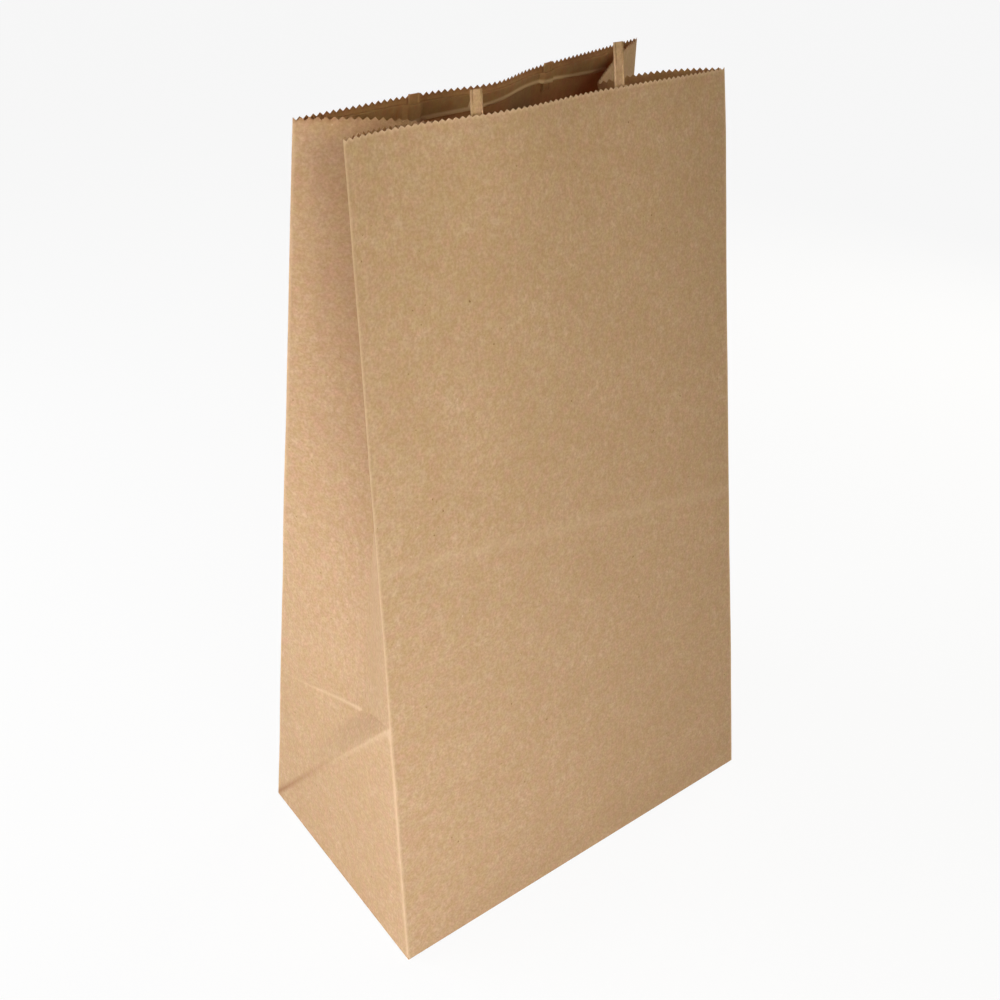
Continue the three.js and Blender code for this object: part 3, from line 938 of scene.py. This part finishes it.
# Each lamp: name, place, target, width and height in metres, power in watts, and tint
LAMPS = (
    ("left_softbox", (-0.5, 0.4, 0.3), (0, 0, 0.1), (0.5, 0.5), 4.1, (0.98, 1, 1.06)),
    ("high_left_softbox", (-0.75, -0.25, 0.6), (0, 0, 0.15), (0.4, 0.4), 0.9, (1.03, 0.98, 0.95)),
    ("near_front_softbox", (-0.1, -0.32, 0.32), (-0.06, -0.03, 0.2), (0.12, 0.12), 0.43,
     (1, 0.98, 0.74)),
    ("high_front_softbox", (-0.3, -0.6, 0.55), (-0.06, -0.03, 0.2), (0.2, 0.2), 0.19,
     (1, 0.98, 0.9)),
    ("table_bounce_left", (-0.25, -0.32, 0.05), (-0.03, -0.04, 0), (0.3, 0.08), 1.04,
     (0.97, 1, 1.15)),
    ("table_bounce_outer", (-0.42, -0.38, 0.12), (-0.03, -0.04, 0), (0.3, 0.2), 0.43, (1, 0.98, 1)),
    ("right_softbox", (0.6, 0.12, 0.35), (0, 0, 0.1), (0.3, 0.3), 1.7, (1.08, 1, 0.8)),
)


def soft_box(name, place, target, size, watts, tint):
    """A rectangular area lamp that faces its target."""
    data = bpy.data.lights.new(name, "AREA")
    data.shape = "RECTANGLE"
    data.size, data.size_y = size
    data.energy = watts
    data.color = tint
    lamp = bpy.data.objects.new(name, data)
    lamp.location = place
    lamp.rotation_euler = (Vector(target) - Vector(place)).to_track_quat("-Z", "Y").to_euler()
    bpy.context.scene.collection.objects.link(lamp)


def build_stage():
    """White floor, soft studio light and the photograph's camera."""
    scene = bpy.context.scene
    deselect_all()
    bpy.ops.mesh.primitive_plane_add(size=FLOOR_SIZE, location=(0, 0, BAG_LOW.z))
    floor = bpy.context.object
    floor.name = "studio_floor"
    dress(floor, studio_white("seamless_white_floor", colours().floor))
    for lamp in LAMPS:
        soft_box(*lamp)
    # The white world is only seen: the lamps alone light the bag.
    world = scene.world or bpy.data.worlds.new("studio")
    scene.world = world
    world.use_nodes = True
    tree = world.node_tree
    tree.nodes.clear()
    back = add_node(
        tree, "ShaderNodeBackground", {"Color": WHITE, "Strength": seen_directly(tree)}).outputs[0]
    add_node(tree, "ShaderNodeOutputWorld", {"Surface": back})
    scene.view_settings.view_transform = "Standard"
    build_camera()


class PAPERBAG_OT_sheet(bpy.types.Operator):
    """Fold the bag from one sheet of kraft paper"""

    bl_idname = "paper_bag.sheet"
    bl_label = "Fold the sheet"

    def execute(self, context):
        build_bag()
        return {"FINISHED"}


class PAPERBAG_OT_handles(bpy.types.Operator):
    """Glue in the patches and the stubs of the handle straps"""

    bl_idname = "paper_bag.handles"
    bl_label = "Patches and strap stubs"

    def execute(self, context):
        build_handles()
        return {"FINISHED"}


class PAPERBAG_OT_stage(bpy.types.Operator):
    """Set up the floor, the lights and the camera"""

    bl_idname = "paper_bag.stage"
    bl_label = "Studio"

    def execute(self, context):
        build_stage()
        return {"FINISHED"}


class PAPERBAG_PT_panel(bpy.types.Panel):
    """Sizes, colours and steps of the paper bag"""

    bl_idname = "PAPERBAG_PT_panel"
    bl_label = "Paper bag"
    bl_space_type = "VIEW_3D"
    bl_region_type = "UI"
    bl_category = "Paper bag"

    def draw(self, context):
        layout = self.layout
        for group in (context.scene.paper_bag_sizes, context.scene.paper_bag_colours):
            for key in group.__annotations__:
                layout.prop(group, key)
        for step in STEPS:
            layout.operator(step.bl_idname)


STEPS = (PAPERBAG_OT_sheet, PAPERBAG_OT_handles, PAPERBAG_OT_stage)
CLASSES = (PaperBagSizes, PaperBagColours, *STEPS, PAPERBAG_PT_panel)


def register():
    """Make the sizes, colours, steps and panel known to Blender."""
    for cls in CLASSES:
        bpy.utils.register_class(cls)
    bpy.types.Scene.paper_bag_sizes = bpy.props.PointerProperty(type=PaperBagSizes)
    bpy.types.Scene.paper_bag_colours = bpy.props.PointerProperty(type=PaperBagColours)


def unregister():
    """Take them out again, in the opposite order."""
    del bpy.types.Scene.paper_bag_colours
    del bpy.types.Scene.paper_bag_sizes
    for cls in reversed(CLASSES):
        bpy.utils.unregister_class(cls)


def main():
    """Register the add-on and run its steps in order."""
    register()
    bpy.ops.paper_bag.sheet()
    bpy.ops.paper_bag.handles()
    bpy.ops.paper_bag.stage()


if __name__ == "__main__":
    main()
